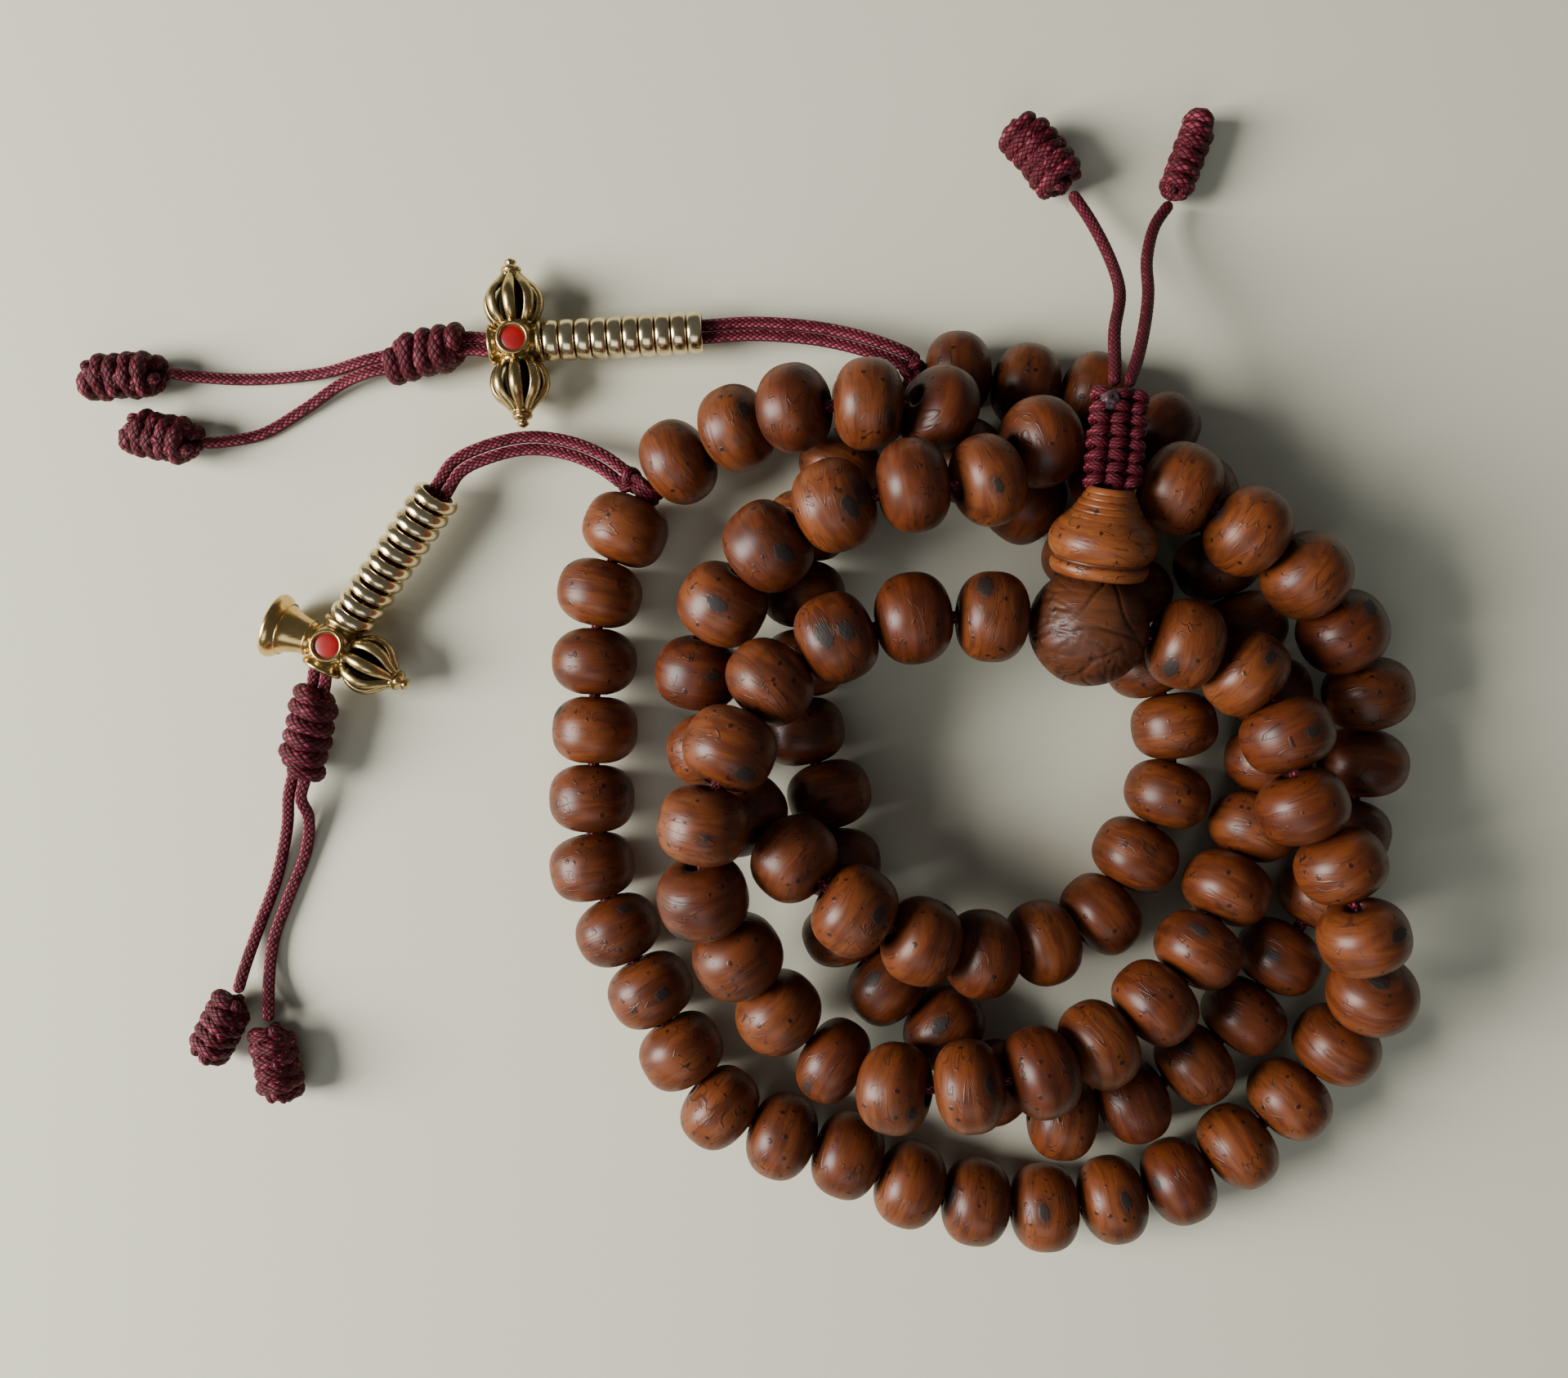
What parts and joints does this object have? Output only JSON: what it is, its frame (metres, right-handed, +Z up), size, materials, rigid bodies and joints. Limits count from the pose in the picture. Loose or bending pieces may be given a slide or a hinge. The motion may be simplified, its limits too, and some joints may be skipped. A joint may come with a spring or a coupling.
{
  "type": "mala prayer beads",
  "caption": "Coiled string of wooden prayer beads with a guru bead and tower, two bell and dorje counters with sliding rings, and knotted cord tails.",
  "frame": {"origin": "on the surface that the mala lies on, under the middle of the box around the beads, the charms and their rings", "axes": "+Z up from the surface, +X to the right of the coil as seen from above with the guru tower pointing away, +Y away along the guru tower"},
  "size_m": [0.1587, 0.1372, 0.0246],
  "materials": {
    "wood": "satin",
    "cord": "matte",
    "pale_brass": "polished",
    "old_brass": "aged",
    "enamel": "gloss"
  },
  "bodies": {
    "loop": {"bead_081": "wood", "bead_082": "wood", "beads_001_009": "wood", "beads_010_018": "wood", "beads_019_026": "wood", "beads_029_037": "wood", "beads_038_046": "wood", "beads_047_055": "wood", "beads_056_064": "wood", "beads_065_073": "wood", "beads_074_080": "wood", "beads_083_091": "wood", "beads_092_100": "wood", "beads_101_108": "wood", "bell_end_knot_a": "cord", "bell_end_knot_b": "cord", "bell_hitch": "cord", "bell_strand_a": "cord", "bell_strand_b": "cord", "dorje_end_knot_a": "cord", "dorje_end_knot_b": "cord", "dorje_hitch": "cord", "dorje_strand_a": "cord", "dorje_strand_b": "cord", "guru_bead": "wood", "guru_braid": "cord", "guru_tail_a": "cord", "guru_tail_b": "cord", "guru_tail_knot_a": "cord", "guru_tail_knot_b": "cord", "guru_tower": "wood", "main_cord": "cord"},
    "bead_027": {"bead_027": "wood"},
    "bead_028": {"bead_028": "wood"},
    "dorje_charm": {"dorje_charm": "old_brass", "dorje_enamel": "enamel"},
    "dorje_ring_01": {"dorje_ring_01": "pale_brass"},
    "dorje_ring_02": {"dorje_ring_02": "pale_brass"},
    "dorje_ring_03": {"dorje_ring_03": "pale_brass"},
    "dorje_ring_04": {"dorje_ring_04": "pale_brass"},
    "dorje_ring_05": {"dorje_ring_05": "pale_brass"},
    "dorje_ring_06": {"dorje_ring_06": "pale_brass"},
    "dorje_ring_07": {"dorje_ring_07": "pale_brass"},
    "dorje_ring_08": {"dorje_ring_08": "pale_brass"},
    "dorje_ring_09": {"dorje_ring_09": "pale_brass"},
    "dorje_ring_10": {"dorje_ring_10": "pale_brass"},
    "dorje_slide_knot": {"dorje_slide_knot": "cord"},
    "bell_charm": {"bell_charm": "old_brass", "bell_enamel": "enamel"},
    "bell_ring_01": {"bell_ring_01": "pale_brass"},
    "bell_ring_02": {"bell_ring_02": "pale_brass"},
    "bell_ring_03": {"bell_ring_03": "pale_brass"},
    "bell_ring_04": {"bell_ring_04": "pale_brass"},
    "bell_ring_05": {"bell_ring_05": "pale_brass"},
    "bell_ring_06": {"bell_ring_06": "pale_brass"},
    "bell_ring_07": {"bell_ring_07": "pale_brass"},
    "bell_ring_08": {"bell_ring_08": "pale_brass"},
    "bell_ring_09": {"bell_ring_09": "pale_brass"},
    "bell_ring_10": {"bell_ring_10": "pale_brass"},
    "bell_slide_knot": {"bell_slide_knot": "cord"}
  },
  "joints": [
    {"name": "bead_027_spin", "type": "hinge", "parent": "loop", "child": "bead_027", "pos_m": [-0.02464, 0.02654, 0.00515], "axis": [0.3988, 0.917, -0.0045], "continuous": true},
    {"name": "bead_028_spin", "type": "hinge", "parent": "loop", "child": "bead_028", "pos_m": [-0.01828, 0.03439, 0.00629], "axis": [0.8271, 0.4984, 0.2599], "continuous": true},
    {"name": "dorje_charm_turn", "type": "hinge", "parent": "loop", "child": "dorje_charm", "pos_m": [-0.03783, 0.04904, 0.00375], "axis": [0.9968, 0.0797, 0], "continuous": true},
    {"name": "dorje_ring_01_slide", "type": "slide", "parent": "loop", "child": "dorje_ring_01", "axis": [0.9982, 0.0599, 0], "range_m": [0, 0.0006]},
    {"name": "dorje_ring_02_slide", "type": "slide", "parent": "dorje_ring_01", "child": "dorje_ring_02", "axis": [0.9982, 0.0599, 0], "range_m": [0, 0.0006]},
    {"name": "dorje_ring_03_slide", "type": "slide", "parent": "dorje_ring_02", "child": "dorje_ring_03", "axis": [0.9982, 0.0599, 0], "range_m": [0, 0.0006]},
    {"name": "dorje_ring_04_slide", "type": "slide", "parent": "dorje_ring_03", "child": "dorje_ring_04", "axis": [0.9982, 0.0599, 0], "range_m": [0, 0.0006]},
    {"name": "dorje_ring_05_slide", "type": "slide", "parent": "dorje_ring_04", "child": "dorje_ring_05", "axis": [0.9982, 0.0599, 0], "range_m": [0, 0.0006]},
    {"name": "dorje_ring_06_slide", "type": "slide", "parent": "dorje_ring_05", "child": "dorje_ring_06", "axis": [0.9982, 0.0599, 0], "range_m": [0, 0.0006]},
    {"name": "dorje_ring_07_slide", "type": "slide", "parent": "dorje_ring_06", "child": "dorje_ring_07", "axis": [0.9982, 0.0599, 0], "range_m": [0, 0.0006]},
    {"name": "dorje_ring_08_slide", "type": "slide", "parent": "dorje_ring_07", "child": "dorje_ring_08", "axis": [0.9982, 0.0599, 0], "range_m": [0, 0.0006]},
    {"name": "dorje_ring_09_slide", "type": "slide", "parent": "dorje_ring_08", "child": "dorje_ring_09", "axis": [0.9982, 0.0599, 0], "range_m": [0, 0.0006]},
    {"name": "dorje_ring_10_slide", "type": "slide", "parent": "dorje_ring_09", "child": "dorje_ring_10", "axis": [0.9982, 0.0599, 0], "range_m": [0, 0.0006]},
    {"name": "dorje_slide_knot_slide", "type": "slide", "parent": "loop", "child": "dorje_slide_knot", "axis": [-0.9762, -0.2148, -0.0293], "range_m": [0, 0.002]},
    {"name": "bell_charm_turn", "type": "hinge", "parent": "loop", "child": "bell_charm", "pos_m": [-0.05963, 0.01274, 0.0041], "axis": [0.4691, 0.8832, 0], "continuous": true},
    {"name": "bell_ring_01_slide", "type": "slide", "parent": "loop", "child": "bell_ring_01", "axis": [0.5669, 0.8238, 0], "range_m": [0, 0.00035]},
    {"name": "bell_ring_02_slide", "type": "slide", "parent": "bell_ring_01", "child": "bell_ring_02", "axis": [0.5669, 0.8238, 0], "range_m": [0, 0.00035]},
    {"name": "bell_ring_03_slide", "type": "slide", "parent": "bell_ring_02", "child": "bell_ring_03", "axis": [0.5669, 0.8238, 0], "range_m": [0, 0.00035]},
    {"name": "bell_ring_04_slide", "type": "slide", "parent": "bell_ring_03", "child": "bell_ring_04", "axis": [0.5669, 0.8238, 0], "range_m": [0, 0.00035]},
    {"name": "bell_ring_05_slide", "type": "slide", "parent": "bell_ring_04", "child": "bell_ring_05", "axis": [0.5669, 0.8238, 0], "range_m": [0, 0.00035]},
    {"name": "bell_ring_06_slide", "type": "slide", "parent": "bell_ring_05", "child": "bell_ring_06", "axis": [0.5669, 0.8238, 0], "range_m": [0, 0.00035]},
    {"name": "bell_ring_07_slide", "type": "slide", "parent": "bell_ring_06", "child": "bell_ring_07", "axis": [0.5669, 0.8238, 0], "range_m": [0, 0.00035]},
    {"name": "bell_ring_08_slide", "type": "slide", "parent": "bell_ring_07", "child": "bell_ring_08", "axis": [0.5669, 0.8238, 0], "range_m": [0, 0.00035]},
    {"name": "bell_ring_09_slide", "type": "slide", "parent": "bell_ring_08", "child": "bell_ring_09", "axis": [0.5669, 0.8238, 0], "range_m": [0, 0.00035]},
    {"name": "bell_ring_10_slide", "type": "slide", "parent": "bell_ring_09", "child": "bell_ring_10", "axis": [0.5669, 0.8238, 0], "range_m": [0, 0.00035]},
    {"name": "bell_slide_knot_slide", "type": "slide", "parent": "loop", "child": "bell_slide_knot", "axis": [-0.2258, -0.9728, -0.0521], "range_m": [0, 0.002]}
  ]
}
